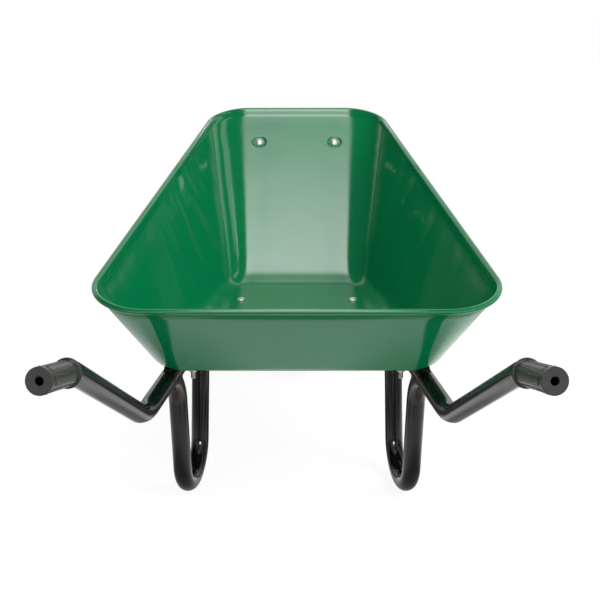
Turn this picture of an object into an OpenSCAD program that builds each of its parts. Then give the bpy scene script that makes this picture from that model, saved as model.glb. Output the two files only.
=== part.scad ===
// Single-wheel barrow with a pressed steel tray on a welded tube frame.
// Units are millimetres. The ground is z = 0, the wheel is at +Y and the handles are at -Y.

/* [Tray] */
// Length of the tray along its rim
tray_length = 882; // [700:1:1080]
// Width of the tray across its rim, at the widest place
tray_width = 662; // [540:1:800]
// Height of the underside of the floor above the ground
floor_height = 287; // [240:1:340]
// Length of the floor
floor_length = 453; // [360:1:560]
// Width of the floor, at the widest place
floor_width = 464; // [400:1:580]
// Height of the rim above the floor at the rear
rear_depth = 136; // [100:1:180]
// Height of the rim above the floor at the front
front_depth = 277; // [220:1:340]
// Thickness of the tray sheet
sheet = 1.2; // [0.8:0.1:3]
// Diameter of the rolled bead round the rim
bead_d = 10; // [7:0.5:14]
// Distance that the rear of the rim stands behind the rear edge of the floor
rear_overhang = 77; // [50:1:110]

/* [Frame tubes] */
// Outside diameter of the frame tubes and legs
tube_d = 32; // [26:0.5:38]
// Wall thickness of the frame tubes and legs
tube_wall = 2; // [1.2:0.1:3]
// Angle at which each frame tube runs in towards the wheel
toe_angle = 10.2; // [8:0.1:12]
// Distance from the middle plane to a frame tube, above the rear of the leg
tube_offset = 203; // [180:0.5:230]
// Slope of the handle between its two bends
rise_angle = 34.2; // [25:0.1:45]
// Slope of the grip
grip_slope = 17.3; // [5:0.1:24]
// Distance from the leg back to the lower handle bend
bend_back = 207; // [150:1:260]
// Height gained between the two handle bends
handle_rise = 197; // [140:1:260]

/* [Legs] */
// Centreline radius of the bend at the foot of each leg
leg_bend_r = 63.5; // [50:0.5:80]
// Backward lean of the rear upright
rear_lean = 5; // [0:0.5:10]
// Forward lean of the front upright
front_lean = 8; // [0:0.5:12]
// Radius of the sweep at the top of the rear upright
sweep_r = 80; // [60:1:100]

/* [Grips] */
// Length of each grip
grip_length = 100; // [80:1:130]
// Wall thickness of each grip
grip_wall = 1.9; // [1.5:0.1:4]

/* [Wheel] */
// Diameter of the tyre
wheel_d = 370; // [340:1:400]
// Width of the tyre
tyre_width = 90; // [70:1:100]
// Diameter of the tyre's seat on the rim
rim_seat_d = 203.2; // [180:0.1:220]
// Distance from the rear of the leg to the axle
axle_forward = 640; // [600:1:700]
// Diameter of the axle
axle_d = 16; // [14:0.5:20]

/* [Hidden] */
tube_r = tube_d / 2;
bore_r = tube_r - tube_wall;
bar_t = 3;
rail_z = floor_height - bar_t - tube_r;
bead_r = bead_d / 2;
floor_rear = -80;
floor_front = floor_rear + floor_length;
rim_rear = floor_rear - rear_overhang;
rim_front = rim_rear + tray_length - bead_d;
rim_taper = 11.3;
floor_taper = 14.7;
rim_slope = (front_depth - rear_depth) / (rim_front - rim_rear);
panel_angle = atan(front_depth / (rim_front - floor_front));
top_z = floor_height + sheet;

axle_y = axle_forward;
axle_z = wheel_d / 2;
axle_r = axle_d / 2;

bend_low_r = 120;
bend_high_r = 60;
low_s = -bend_back;
high_s = low_s - handle_rise / tan(rise_angle);
high_z = rail_z + handle_rise;
grip_start = 14;
grip_end = grip_start + grip_length;
rail_front = (axle_y + 50) / cos(toe_angle);
grip_far_s = high_s - grip_end * cos(grip_slope);
grip_r = tube_r + grip_wall;
rear_y = grip_far_s * cos(toe_angle) - grip_r * sqrt(1 - pow(cos(grip_slope) * cos(toe_angle), 2));
front_y = max(axle_y + wheel_d / 2, rim_front + bead_r);
mid_y = (front_y + rear_y) / 2;

bolt_r = 4;
bolt_head_r = 9;
bolt_hole_r = 4.4;
washer_t = 1.6;
nut_h = 6.5;
nut_af = 13;
rear_bar_y = floor_rear + 35;
rear_bolt_x = min(rail_x(rear_bar_y) - tube_r - 21, floor_width / 2 - 57);
floor_bolt_y = floor_front - 104;
floor_bolt_x = min(rail_x(floor_bolt_y) - tube_r - 32, floor_width / 2 - (floor_bolt_y + 30) * tan(floor_taper) - 47);
bar_w = 36;
dimple_d = 2;
panel_bolt_y = min(floor_front + 0.8 * (rim_front - floor_front), axle_y + 10);
panel_bolt_z = floor_height + (panel_bolt_y - floor_front) * tan(panel_angle);
stay_w = 30;
stay_t = 4;
stay_y = panel_bolt_y - 22;
stay_x = rail_x(stay_y) - 6.6;
panel_bolt_x = stay_x - 4;

plate_t = 5;
plate_x = rail_x(axle_y);
plate_in = plate_x - plate_t / 2;
axle_end_r = 6;
axle_end_l = plate_t + 2.5 + 10 + 5;

hub_half = tyre_width / 2 - 1;
hub_r = axle_r + 8;
hub_bore_r = axle_r + 5;
bush_flange_t = 2.5;
spacer_gap = 0.5;
spacer_in = hub_half + bush_flange_t + spacer_gap;
rim_t = 2.5;
rim_bolt_circle = 45;
valve_angle = 55;

function rail_x(y) = tube_offset - y * tan(toe_angle);

// Places everything so that the middle of the barrow's footprint is the origin.
module placed() {
    translate([0, -mid_y, 0])
        children();
}

// side = 1 is the right-hand side, side = -1 the left-hand side.
module on_side(side) {
    mirror([side < 0 ? 1 : 0, 0, 0])
        children();
}

// The upright plane of one frame tube: Y runs along the tube, Z is up.
module tube_plane(side) {
    on_side(side)
        translate([tube_offset, 0, 0])
            rotate([0, 0, toe_angle])
                children();
}

// ---------- Tray ----------

// Corner centres of a tapered outline with its rear edge at y0 and its front edge at y1.
function corner_rear(w, y0, r) = [w / 2 - r, y0 + r];
function corner_front(w, y0, y1, r0, r1, a) = [w / 2 - r0 + (r0 - r1 - (y1 - r1 - y0 - r0) * sin(a)) / cos(a), y1 - r1];

// Right half of an outline from the middle of the rear edge to the middle of the front edge:
// each entry is [centre x, centre y, radius, direction].
function half_outline(cr, cf, r0, r1, a) = concat(
    [[0, cr[1], r0, -90], [cr[0] / 2, cr[1], r0, -90]],
    [for (i = [0:9]) [cr[0], cr[1], r0, -90 + i * (90 + a) / 9]],
    [for (i = [1:5]) [cr[0] + (cf[0] - cr[0]) * i / 6, cr[1] + (cf[1] - cr[1]) * i / 6, r0 + (r1 - r0) * i / 6, a]],
    [for (i = [0:9]) [cf[0], cf[1], r1, a + i * (90 - a) / 9]],
    [[cf[0] / 2, cf[1], r1, 90], [0, cf[1], r1, 90]]);

rim_r0 = 90;
rim_r1 = 85;
floor_r0 = 50;
floor_r1 = 45;
rim_half = half_outline(corner_rear(tray_width - bead_d, rim_rear, rim_r0),
    corner_front(tray_width - bead_d, rim_rear, rim_front, rim_r0, rim_r1, rim_taper), rim_r0, rim_r1, rim_taper);
floor_half = half_outline(corner_rear(floor_width, floor_rear, floor_r0),
    corner_front(floor_width, floor_rear, floor_front, floor_r0, floor_r1, floor_taper), floor_r0, floor_r1, floor_taper);
half_n = len(rim_half);
ring_n = 2 * half_n - 2;

function flip(e) = [-e[0], e[1], e[2], 180 - e[3]];
function around(half, j) = j < half_n ? half[j] : flip(half[ring_n - j]);
function edge(e, inset) = [e[0] + (e[2] - inset) * cos(e[3]), e[1] + (e[2] - inset) * sin(e[3])];
function rim_z(y) = floor_height + rear_depth + (y - rim_rear) * rim_slope;

function rim_point(j, inset) = let (p = edge(around(rim_half, j), inset), q = edge(around(rim_half, j), 0)) [p[0], p[1], rim_z(q[1])];
function floor_point(j, inset, z) = let (p = edge(around(floor_half, j), inset)) [p[0], p[1], z];
function lean(j) = let (a = rim_point(j, 0), b = floor_point(j, 0, floor_height)) atan(norm([a[0] - b[0], a[1] - b[1]]) / (a[2] - b[2]));
function fillet(j) = let (s = sin(around(floor_half, j)[3])) s < 0 ? 28 + 13 * s : 28;
function unit(v) = v / norm(v);
function blend(a, b, c, u) = (1 - u) * (1 - u) * a + 2 * u * (1 - u) * b + u * u * c;

// One point of the tray surface; level 0 is the flat floor, 1 to 5 the bend and 6 the rim.
function tray_point(j, level, t) =
    let (l = lean(j),
        f = floor_point(j, t * tan(45 - l / 2), floor_height + t),
        r = rim_point(j, t / cos(l)),
        g = fillet(j),
        a = floor_point(j, t * tan(45 - l / 2) + g, floor_height + t),
        b = f + g * unit(r - f))
    level == 6 ? r : blend(a, f, b, level / 5);

module tray_shell() {
    rings = 7;
    points = concat(
        [for (k = [0:rings - 1]) for (j = [0:ring_n - 1]) tray_point(j, k, 0)],
        [for (k = [0:rings - 1]) for (j = [0:ring_n - 1]) tray_point(j, rings - 1 - k, sheet)]);
    total = 2 * rings;
    walls = [for (k = [0:total - 2]) for (j = [0:ring_n - 1]) for (h = [0, 1])
        let (a = k * ring_n + j, b = k * ring_n + (j + 1) % ring_n, c = b + ring_n, d = a + ring_n)
        h == 0 ? [a, c, b] : [a, d, c]];
    bottom = [[for (j = [0:ring_n - 1]) j]];
    top = [[for (j = [ring_n - 1:-1:0]) (total - 1) * ring_n + j]];
    polyhedron(points = points, faces = concat(walls, bottom, top), convexity = 6);
}

module rim_bead() {
    sides = 8;
    points = [for (j = [0:ring_n - 1]) for (k = [0:sides - 1])
        let (c = rim_point(j, 0), d = around(rim_half, j)[3])
        [c[0] + bead_r * cos(k * 45) * cos(d), c[1] + bead_r * cos(k * 45) * sin(d), c[2] + bead_r * sin(k * 45)]];
    faces = [for (j = [0:ring_n - 1]) for (k = [0:sides - 1]) for (h = [0, 1])
        let (jn = (j + 1) % ring_n, kn = (k + 1) % sides, a = j * sides + k, b = jn * sides + k, c = jn * sides + kn, d = j * sides + kn)
        h == 0 ? [a, c, b] : [a, d, c]];
    polyhedron(points = points, faces = faces, convexity = 6);
}

// Frame of a front panel bolt: Z points up out of the panel's underside.
module at_panel_bolt(side) {
    translate([side * panel_bolt_x, panel_bolt_y, panel_bolt_z])
        rotate([panel_angle, 0, 0])
            children();
}

module bolt_places() {
    for (side = [-1, 1]) {
        translate([side * rear_bolt_x, rear_bar_y, floor_height])
            children();
        translate([side * floor_bolt_x, floor_bolt_y, floor_height])
            children();
    }
}

module tray() color([0.13, 0.48, 0.33]) placed() {
    difference() {
        union() {
            difference() {
                tray_shell();
                for (side = [-1, 1])
                    at_panel_bolt(side)
                        translate([0, 0, -5])
                            cylinder(h = 10, r = 15.5, $fn = 36);
            }
            rim_bead();
            for (side = [-1, 1])
                at_panel_bolt(side)
                    rotate_extrude($fn = 36)
                        polygon([[bolt_hole_r, -dimple_d], [11, -dimple_d], [15.8, 0], [15.8, sheet], [14.8, sheet], [10, sheet - dimple_d], [bolt_hole_r, sheet - dimple_d]]);
        }
        bolt_places()
            translate([0, 0, -5])
                cylinder(h = 12, r = bolt_hole_r, $fn = 24);
    }
}

// ---------- Frame tubes ----------

// Section of a straight piece of tube. An end let into a bend tapers a hair, so that its wall passes cleanly
// through the wall of the bend.
function run_section(l, r, bore, a, b) = concat(
    a ? [[r - hair, -2], [r + hair, 1], [r, 2]] : [[r, 0]],
    b ? [[r, l - 2], [r + hair, l - 1], [r - hair, l + 2]] : [[r, l]],
    b ? [[bore + hair, l + 2], [bore - hair, l - 1], [bore, l - 2]] : [[bore, l]],
    a ? [[bore, 2], [bore - hair, 1], [bore + hair, -2]] : [[bore, 0]]);

// Places a tube along Z from [y, z] p towards [y, z] q in the tube plane.
module along(p, q) {
    d = q - p;
    translate([0, p[0], p[1]])
        rotate([atan2(-d[0], d[1]), 0, 0])
            children();
}

// Straight piece of tube from p to q; a and b say which of its ends are let into a bend.
module run(p, q, a, b) {
    along(p, q)
        rotate_extrude($fn = 64)
            polygon(run_section(norm(q - p), tube_r, bore_r, a, b));
}

// Solid bar from p to q, for cutting a piece to fit a tube.
module bar(p, q, r) {
    along(p, q)
        cylinder(h = norm(q - p), r = r, $fn = 64);
}

// Bent piece of tube round the centre c; angle 0 is straight below the centre, negative is behind it.
module bend(c, r, from, to) {
    translate([0, c[0], c[1]])
        rotate([0, 90, 0])
            rotate([0, 0, from])
                rotate_extrude(angle = to - from, $fn = 160)
                    translate([r, 0])
                        difference() {
                            circle(r = tube_r, $fn = 64);
                            circle(r = bore_r, $fn = 64);
                        }
}

low_t = bend_low_r * tan(rise_angle / 2);
high_t = bend_high_r * tan((rise_angle - grip_slope) / 2);
rise_dir = [-cos(rise_angle), sin(rise_angle)];
grip_dir = [-cos(grip_slope), sin(grip_slope)];
low_v = [low_s, rail_z];
high_v = [high_s, high_z];
low_a = low_v + [low_t, 0];
low_b = low_v + low_t * rise_dir;
high_a = high_v - high_t * rise_dir;
high_b = high_v + high_t * grip_dir;
low_c = [low_a[0], rail_z + bend_low_r];
high_c = high_a - bend_high_r * [sin(rise_angle), cos(rise_angle)];
tube_end = high_v + (grip_end - 5) * grip_dir;
hair = 0.06;
weld_gap = 0.1;

module frame_path() {
    run([rail_front, rail_z], low_a, false, true);
    bend(low_c, bend_low_r, -rise_angle, 0);
    run(low_b, high_a, true, true);
    bend(high_c, bend_high_r, 180 - rise_angle, 180 - grip_slope);
    run(high_b, tube_end, true, false);
}

module frame_tube(side) color([0.07, 0.07, 0.075]) placed() {
    tube_plane(side) {
        frame_path();
    }
}

module left_frame_tube() frame_tube(-1);
module right_frame_tube() frame_tube(1);

module tube_plug(side) color([0.05, 0.05, 0.05]) placed() {
    tube_plane(side)
        translate([0, rail_front, rail_z])
            rotate([-90, 0, 0]) {
                cylinder(h = 3, r = tube_r, $fn = 64);
                translate([0, 0, -14])
                    cylinder(h = 14.5, r = bore_r - 0.03, $fn = 64);
            }
}

module left_tube_plug() tube_plug(-1);
module right_tube_plug() tube_plug(1);

// ---------- Legs ----------

leg_c = [leg_bend_r + 2, leg_bend_r + tube_r];
rear_foot = leg_c + leg_bend_r * [-cos(rear_lean), -sin(rear_lean)];
front_foot = leg_c + leg_bend_r * [cos(front_lean), -sin(front_lean)];
sweep_z = rail_z - sweep_r * (0.9 - sin(rear_lean));
sweep_a = [rear_foot[0] - (sweep_z - rear_foot[1]) * tan(rear_lean), sweep_z];
sweep_c = sweep_a - sweep_r * [cos(rear_lean), sin(rear_lean)];
sweep_end = asin(0.9);
front_top = [front_foot[0] + (rail_z - front_foot[1]) * tan(front_lean), rail_z];

module leg_path() {
    bend(leg_c, leg_bend_r, -(90 - rear_lean), 90 - front_lean);
    run(rear_foot, sweep_a, true, true);
    bend(sweep_c, sweep_r, 90 + rear_lean, 90 + sweep_end);
    run(front_foot, front_top, true, false);
}

module leg(side) color([0.07, 0.07, 0.075]) placed() {
    tube_plane(side) {
        difference() {
            leg_path();
            bar([-200, rail_z], [300, rail_z], tube_r + weld_gap);
        }
    }
}

module left_leg() leg(-1);
module right_leg() leg(1);

// ---------- Grips ----------

module grip(side) color([0.2, 0.2, 0.2]) placed() {
    tube_plane(side)
        translate([0, high_v[0], high_v[1]])
            rotate([90 - grip_slope, 0, 0])
                difference() {
                    union() {
                        translate([0, 0, grip_start])
                            cylinder(h = 4, r = grip_r + 2.3, $fn = 64);
                        translate([0, 0, grip_start])
                            cylinder(h = grip_length, r = grip_r, $fn = 64);
                    }
                    cylinder(h = grip_end - 4.95, r = tube_r + 0.05, $fn = 64);
                    cylinder(h = grip_end + 1, r = 5.5, $fn = 48);
                }
}

module left_grip() grip(-1);
module right_grip() grip(1);

// ---------- Crossbars ----------

module crossbar(y, half, bolt_x) color([0.07, 0.07, 0.075]) placed() {
    difference() {
        translate([-half, y - bar_w / 2, floor_height - bar_t])
            cube([2 * half, bar_w, bar_t]);
        for (side = [-1, 1])
            translate([side * bolt_x, y, floor_height - bar_t - 1])
                cylinder(h = bar_t + 2, r = bolt_hole_r, $fn = 32);
    }
}

module rear_crossbar() crossbar(rear_bar_y, rail_x(rear_bar_y) + 10, rear_bolt_x);
module front_crossbar() crossbar(floor_bolt_y, rail_x(floor_bolt_y) + 10, floor_bolt_x);

// ---------- Tray stays ----------

// Foot and flange lie side by side at the bend, where the flange meets the upright strip.
module tray_stay(side) color([0.07, 0.07, 0.075]) placed() {
    foot_z = rail_z;
    flange_z = panel_bolt_z + (stay_y - panel_bolt_y) * tan(panel_angle) - (dimple_d + 0.02) / cos(panel_angle);
    difference() {
        on_side(side) {
            translate([stay_x - stay_w / 2, 0, 0])
                rotate([90, 0, 90])
                    linear_extrude(height = stay_w)
                        polygon([[stay_y, foot_z], [stay_y + stay_t, foot_z],
                            [stay_y + stay_t, flange_z + stay_t * tan(panel_angle) - stay_t / cos(panel_angle)],
                            [stay_y + 44, flange_z + 44 * tan(panel_angle) - stay_t / cos(panel_angle)],
                            [stay_y + 44 - stay_t * sin(panel_angle), flange_z + 44 * tan(panel_angle) - stay_t * sin(panel_angle) * tan(panel_angle)],
                            [stay_y, flange_z]]);
        }
        at_panel_bolt(side)
            translate([0, 0, -20])
                cylinder(h = 30, r = bolt_hole_r, $fn = 32);
        tube_plane(side)
            bar([rail_front - 200, rail_z], [rail_front + 10, rail_z], tube_r);
    }
}

module left_tray_stay() tray_stay(-1);
module right_tray_stay() tray_stay(1);

// ---------- Axle plates ----------

module axle_plate(side) color([0.07, 0.07, 0.075]) placed() {
    difference() {
        on_side(side)
            translate([plate_in, axle_y, axle_z])
                rotate([90, 0, 90])
                    linear_extrude(height = plate_t)
                        difference() {
                            union() {
                                circle(r = 20, $fn = 64);
                                polygon([[-19.6, -4], [19.6, -4], [34, rail_z - axle_z], [-34, rail_z - axle_z]]);
                            }
                            circle(r = axle_end_r + 0.1, $fn = 48);
                        }
        tube_plane(side)
            bar([rail_front - 200, rail_z], [rail_front + 10, rail_z], tube_r);
    }
}

module left_axle_plate() axle_plate(-1);
module right_axle_plate() axle_plate(1);

// ---------- Tray fasteners ----------

module hexagon(af, h, hole) {
    difference() {
        cylinder(h = h, r = af / 2 / cos(30), $fn = 6);
        translate([0, 0, -1])
            cylinder(h = h + 2, r = hole, $fn = 32);
    }
}

module dome_bolt(length) {
    translate([0, 0, -length])
        cylinder(h = length, r = bolt_r, $fn = 32);
    cylinder(h = 1.5, r = bolt_head_r, $fn = 48);
    translate([0, 0, 1.5])
        intersection() {
            translate([0, 0, -9.625])
                sphere(r = 13.17, $fn = 64);
            cylinder(h = 4, r = bolt_head_r, $fn = 48);
        }
}

module tray_bolts() color([0.72, 0.72, 0.7]) placed() {
    bolt_places()
        translate([0, 0, sheet])
            dome_bolt(25);
    for (side = [-1, 1])
        at_panel_bolt(side)
            translate([0, 0, sheet - dimple_d])
                dome_bolt(20);
}

module washer() {
    difference() {
        cylinder(h = washer_t, r = 8.5, $fn = 48);
        translate([0, 0, -1])
            cylinder(h = washer_t + 2, r = bolt_r + 0.2, $fn = 32);
    }
}

module tray_washers() color([0.72, 0.72, 0.7]) placed() {
    bolt_places()
        translate([0, 0, -bar_t - washer_t])
            washer();
    for (side = [-1, 1])
        at_panel_bolt(side)
            translate([0, 0, -dimple_d - 0.02 - stay_t - washer_t])
                washer();
}

module tray_nuts() color([0.72, 0.72, 0.7]) placed() {
    bolt_places()
        translate([0, 0, -bar_t - washer_t - nut_h])
            hexagon(nut_af, nut_h, bolt_r + 0.02);
    for (side = [-1, 1])
        at_panel_bolt(side)
            translate([0, 0, -dimple_d - 0.02 - stay_t - washer_t - nut_h])
                hexagon(nut_af, nut_h, bolt_r + 0.02);
}

// ---------- Axle ----------

// Frame of the wheel: the axle lies along X through the origin.
module at_axle() {
    translate([0, axle_y, axle_z])
        children();
}

module along_x(x) {
    translate([x, 0, 0])
        rotate([0, 90, 0])
            children();
}

module axle() color([0.62, 0.62, 0.62]) placed() at_axle() {
    along_x(-plate_in)
        cylinder(h = 2 * plate_in, r = axle_r, $fn = 64);
    for (side = [-1, 1])
        on_side(side)
            along_x(plate_in - 1)
                cylinder(h = axle_end_l + 1, r = axle_end_r, $fn = 48);
}

module axle_spacers() color([0.62, 0.62, 0.62]) placed() at_axle() {
    for (side = [-1, 1])
        on_side(side)
            along_x(spacer_in)
                difference() {
                    cylinder(h = plate_in - spacer_in, r = axle_r + 4, $fn = 64);
                    translate([0, 0, -1])
                        cylinder(h = plate_in - spacer_in + 2, r = axle_r + 0.05, $fn = 64);
                }
}

module axle_washers() color([0.72, 0.72, 0.7]) placed() at_axle() {
    for (side = [-1, 1])
        on_side(side)
            along_x(plate_in + plate_t)
                difference() {
                    cylinder(h = 2.5, r = 12, $fn = 64);
                    translate([0, 0, -1])
                        cylinder(h = 5, r = axle_end_r + 0.1, $fn = 48);
                }
}

module axle_nuts() color([0.72, 0.72, 0.7]) placed() at_axle() {
    for (side = [-1, 1])
        on_side(side)
            along_x(plate_in + plate_t + 2.5)
                hexagon(19, 10, axle_end_r + 0.02);
}

// ---------- Wheel ----------

tyre_r = wheel_d / 2;
tw = tyre_width / 2;
seat_r = rim_seat_d / 2;

// Radius at a share of the sidewall's height, from the seat to the tread.
function wall_r(share) = seat_r + share * (tyre_r - seat_r);

// Right half of the tyre's section as [radius, x], outside then inside.
tyre_out = [[seat_r + 0.7, tw - 20], [seat_r + 0.7, tw - 9.6], [seat_r + 11, tw - 3], [seat_r + 15.4, tw - 1],
    [wall_r(0.35), tw], [wall_r(0.64), tw - 0.6], [wall_r(0.8), tw - 4], [tyre_r - 8, tw - 11], [tyre_r - 3, tw - 22],
    [tyre_r - 1.5, 14], [tyre_r - 1.5, 11], [tyre_r - 4.5, 10], [tyre_r - 4.5, 6], [tyre_r - 0.4, 5]];
tyre_in = [[tyre_r - 10, 0], [tyre_r - 11, tw - 25], [tyre_r - 16, tw - 14], [wall_r(0.66), tw - 8], [wall_r(0.38), tw - 7],
    [seat_r + 16.4, tw - 9], [seat_r + 6.4, tw - 14]];

function mirrored(list) = [for (i = [len(list) - 1:-1:0]) [list[i][0], -list[i][1]]];
function without_first(list) = [for (i = [1:len(list) - 1]) list[i]];
function reversed(list) = [for (i = [len(list) - 1:-1:0]) list[i]];

// Spins a [radius, x] section about the axle.
module spun(points) {
    rotate([0, 90, 0])
        rotate_extrude($fn = 128)
            polygon(points);
}

module tyre() color([0.06, 0.06, 0.06]) placed() at_axle() {
    spun(concat(tyre_out, [[tyre_r, 0]], mirrored(tyre_out), mirrored(without_first(tyre_in)), [tyre_in[0]], without_first(tyre_in)));
}

tube_out = [[tyre_r - 10.5, 0], [tyre_r - 11.5, tw - 25.3], [tyre_r - 16.4, tw - 14.6], [wall_r(0.657), tw - 8.6],
    [wall_r(0.38), tw - 7.6], [seat_r + 16.6, tw - 9.7], [seat_r + 6.4, tw - 15], [seat_r - 1.6, tw - 24.6],
    [seat_r - 9.6, tw - 32], [seat_r - 13.6, tw - 39]];

module inner_tube() color([0.1, 0.1, 0.1]) placed() at_axle() {
    inner = [for (p = tube_out) [p[0] + (p[0] > wall_r(0.5) ? -2.5 : 3), p[1] * 0.92]];
    difference() {
        spun(concat(tube_out, mirrored(without_first(tube_out))));
        spun(concat(inner, mirrored(without_first(inner))));
    }
}

// Right half of the pressed rim as a [radius, x] path on its air side.
rim_path = [[hub_r + 0.02, 0], [seat_r - 39.6, 0], [seat_r - 17.6, tw - 29], [seat_r - 3.6, tw - 23], [seat_r, tw - 9],
    [seat_r + 10.2, tw - 2.6]];

module rim_half(side, hole) {
    spun([for (p = concat(rim_path, reversed([for (i = [0:5]) rim_path[i] + rim_t * rim_shift(i)]))) [p[0], side * p[1]]]);
}

// Direction from each corner of the rim path to the outer face.
function rim_shift(i) =
    i == 0 ? [0, 1] :
    i == 5 ? [-0.5, 0.85] :
    let (a = unit(rim_path[i] - rim_path[i - 1]), b = unit(rim_path[i + 1] - rim_path[i]), n = unit([-a[1], a[0]] + [-b[1], b[0]]))
    n / (n * [-a[1], a[0]]);

module at_rim_bolts() {
    for (i = [0:3])
        rotate([45 + 90 * i, 0, 0])
            translate([0, 0, rim_bolt_circle])
                children();
}

// Frame of the valve: Z runs along the stem, out of the rim.
module at_valve() {
    rotate([valve_angle, 0, 0])
        translate([tw - 26.5, 0, seat_r - 10.6])
            rotate([0, 113, 0])
                children();
}

module left_rim_half() color([0.8, 0.8, 0.78]) placed() at_axle() {
    difference() {
        rim_half(-1);
        at_rim_bolts()
            along_x(-6)
                cylinder(h = 12, r = bolt_hole_r, $fn = 32);
    }
}

module right_rim_half() color([0.8, 0.8, 0.78]) placed() at_axle() {
    difference() {
        rim_half(1);
        at_rim_bolts()
            along_x(-6)
                cylinder(h = 12, r = bolt_hole_r, $fn = 32);
        at_valve()
            translate([0, 0, -8])
                cylinder(h = 20, r = 4.6, $fn = 32);
    }
}

module hub() color([0.8, 0.8, 0.78]) placed() at_axle() {
    along_x(-hub_half)
        difference() {
            cylinder(h = 2 * hub_half, r = hub_r, $fn = 64);
            translate([0, 0, -1])
                cylinder(h = 2 * hub_half + 2, r = hub_bore_r, $fn = 64);
        }
}

module bush(side) color([0.9, 0.9, 0.86]) placed() at_axle() {
    on_side(side)
        along_x(hub_half - 20)
            difference() {
                union() {
                    cylinder(h = 20, r = hub_bore_r - 0.02, $fn = 64);
                    translate([0, 0, 20])
                        cylinder(h = bush_flange_t, r = hub_r, $fn = 64);
                }
                translate([0, 0, -1])
                    cylinder(h = 20 + bush_flange_t + 2, r = axle_r + 0.05, $fn = 64);
            }
}

module left_bush() bush(-1);
module right_bush() bush(1);

module rim_bolts() color([0.72, 0.72, 0.7]) placed() at_axle() {
    at_rim_bolts() {
        along_x(-rim_t)
            cylinder(h = 16, r = bolt_r, $fn = 32);
        along_x(-rim_t - 5.3)
            cylinder(h = 5.3, r = nut_af / 2 / cos(30), $fn = 6);
    }
}

module rim_nuts() color([0.72, 0.72, 0.7]) placed() at_axle() {
    at_rim_bolts()
        along_x(rim_t)
            hexagon(nut_af, nut_h, bolt_r + 0.02);
}

module valve_stem() color([0.08, 0.08, 0.08]) placed() at_axle() {
    at_valve() {
        translate([0, 0, -1.2])
            cylinder(h = 3.8, r = 4.5, $fn = 32);
        translate([0, 0, 2])
            cylinder(h = 14, r = 3.9, $fn = 32);
        translate([0, 0, 15])
            cylinder(h = 7, r = 2.6, $fn = 32);
    }
}

module valve_cap() color([0.05, 0.05, 0.05]) placed() at_axle() {
    at_valve()
        translate([0, 0, 16.05])
            difference() {
                cylinder(h = 9, r = 4, $fn = 32);
                translate([0, 0, -1])
                    cylinder(h = 7.2, r = 2.65, $fn = 32);
            }
}

tray();
left_frame_tube();
right_frame_tube();
left_leg();
right_leg();
left_grip();
right_grip();
rear_crossbar();
front_crossbar();
left_tray_stay();
right_tray_stay();
left_axle_plate();
right_axle_plate();
left_tube_plug();
right_tube_plug();
tray_bolts();
tray_washers();
tray_nuts();
axle();
axle_spacers();
axle_washers();
axle_nuts();
tyre();
inner_tube();
left_rim_half();
right_rim_half();
hub();
left_bush();
right_bush();
rim_bolts();
rim_nuts();
valve_stem();
valve_cap();
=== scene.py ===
import math

import bmesh
import bpy
from mathutils import Matrix, Vector
from mathutils.geometry import delaunay_2d_cdt


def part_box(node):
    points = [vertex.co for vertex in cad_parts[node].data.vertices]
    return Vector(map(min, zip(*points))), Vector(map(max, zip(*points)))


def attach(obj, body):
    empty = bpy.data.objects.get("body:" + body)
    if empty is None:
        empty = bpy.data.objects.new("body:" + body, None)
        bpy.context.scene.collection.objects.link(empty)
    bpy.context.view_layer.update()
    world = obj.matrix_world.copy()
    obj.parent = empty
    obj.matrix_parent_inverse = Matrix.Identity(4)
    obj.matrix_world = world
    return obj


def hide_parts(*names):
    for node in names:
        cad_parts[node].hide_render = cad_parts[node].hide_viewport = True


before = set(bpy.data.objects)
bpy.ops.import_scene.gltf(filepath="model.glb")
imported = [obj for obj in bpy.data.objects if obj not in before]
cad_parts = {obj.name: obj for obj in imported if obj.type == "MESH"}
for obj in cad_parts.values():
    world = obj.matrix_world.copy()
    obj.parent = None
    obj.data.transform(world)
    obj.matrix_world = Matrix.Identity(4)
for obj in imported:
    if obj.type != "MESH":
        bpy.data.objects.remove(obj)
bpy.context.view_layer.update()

# ---------------------------------------------------------------- Tray
# One pressed sheet of 1.2 mm steel: a flat floor, four leaning walls with round corners, and a rim rolled
# outwards into a bead. It is dipped in glossy green enamel, over everything. The front wall has two
# dished seats for the bolts of its stays.

tray_low, tray_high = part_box("tray")
sheet = 0.0012
bead_r = 0.005
bead_turn = math.radians(292)
rim_width = 2 * (tray_high.x - bead_r)
rim_rear = tray_low.y + bead_r
rim_front = tray_high.y - bead_r
floor_under = tray_low.z
floor_rear = rim_rear + 0.077
floor_front = floor_rear + 0.453
floor_width = 0.464
leg_line = floor_rear + 0.080  # Y of the rear of the legs, from which the frame is set out
rear_depth = 0.136
front_depth = tray_high.z - bead_r - floor_under
rim_climb = (front_depth - rear_depth) / (rim_front - rim_rear)
foot_bend_r, foot_bend_less = 0.028, 0.013  # the bend at the foot of the walls, tighter along the rear
panel_lean = math.atan2(front_depth, rim_front - floor_front)
panel_bolt = Vector((0.080, leg_line + 0.6466, floor_under + 0.2216))
rear_bolt = Vector((0.1741, leg_line - 0.045, floor_under))
floor_bolt = Vector((0.10656, leg_line + 0.269, floor_under))
floor_hole_r, floor_hole_sides, seat_sides = 0.0046, 24, 48
end_steps, corner_steps, side_steps = 9, 22, 24
bend_rows, wall_rows, ease_rows, roll_rows = 10, 12, 8, 22


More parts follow.
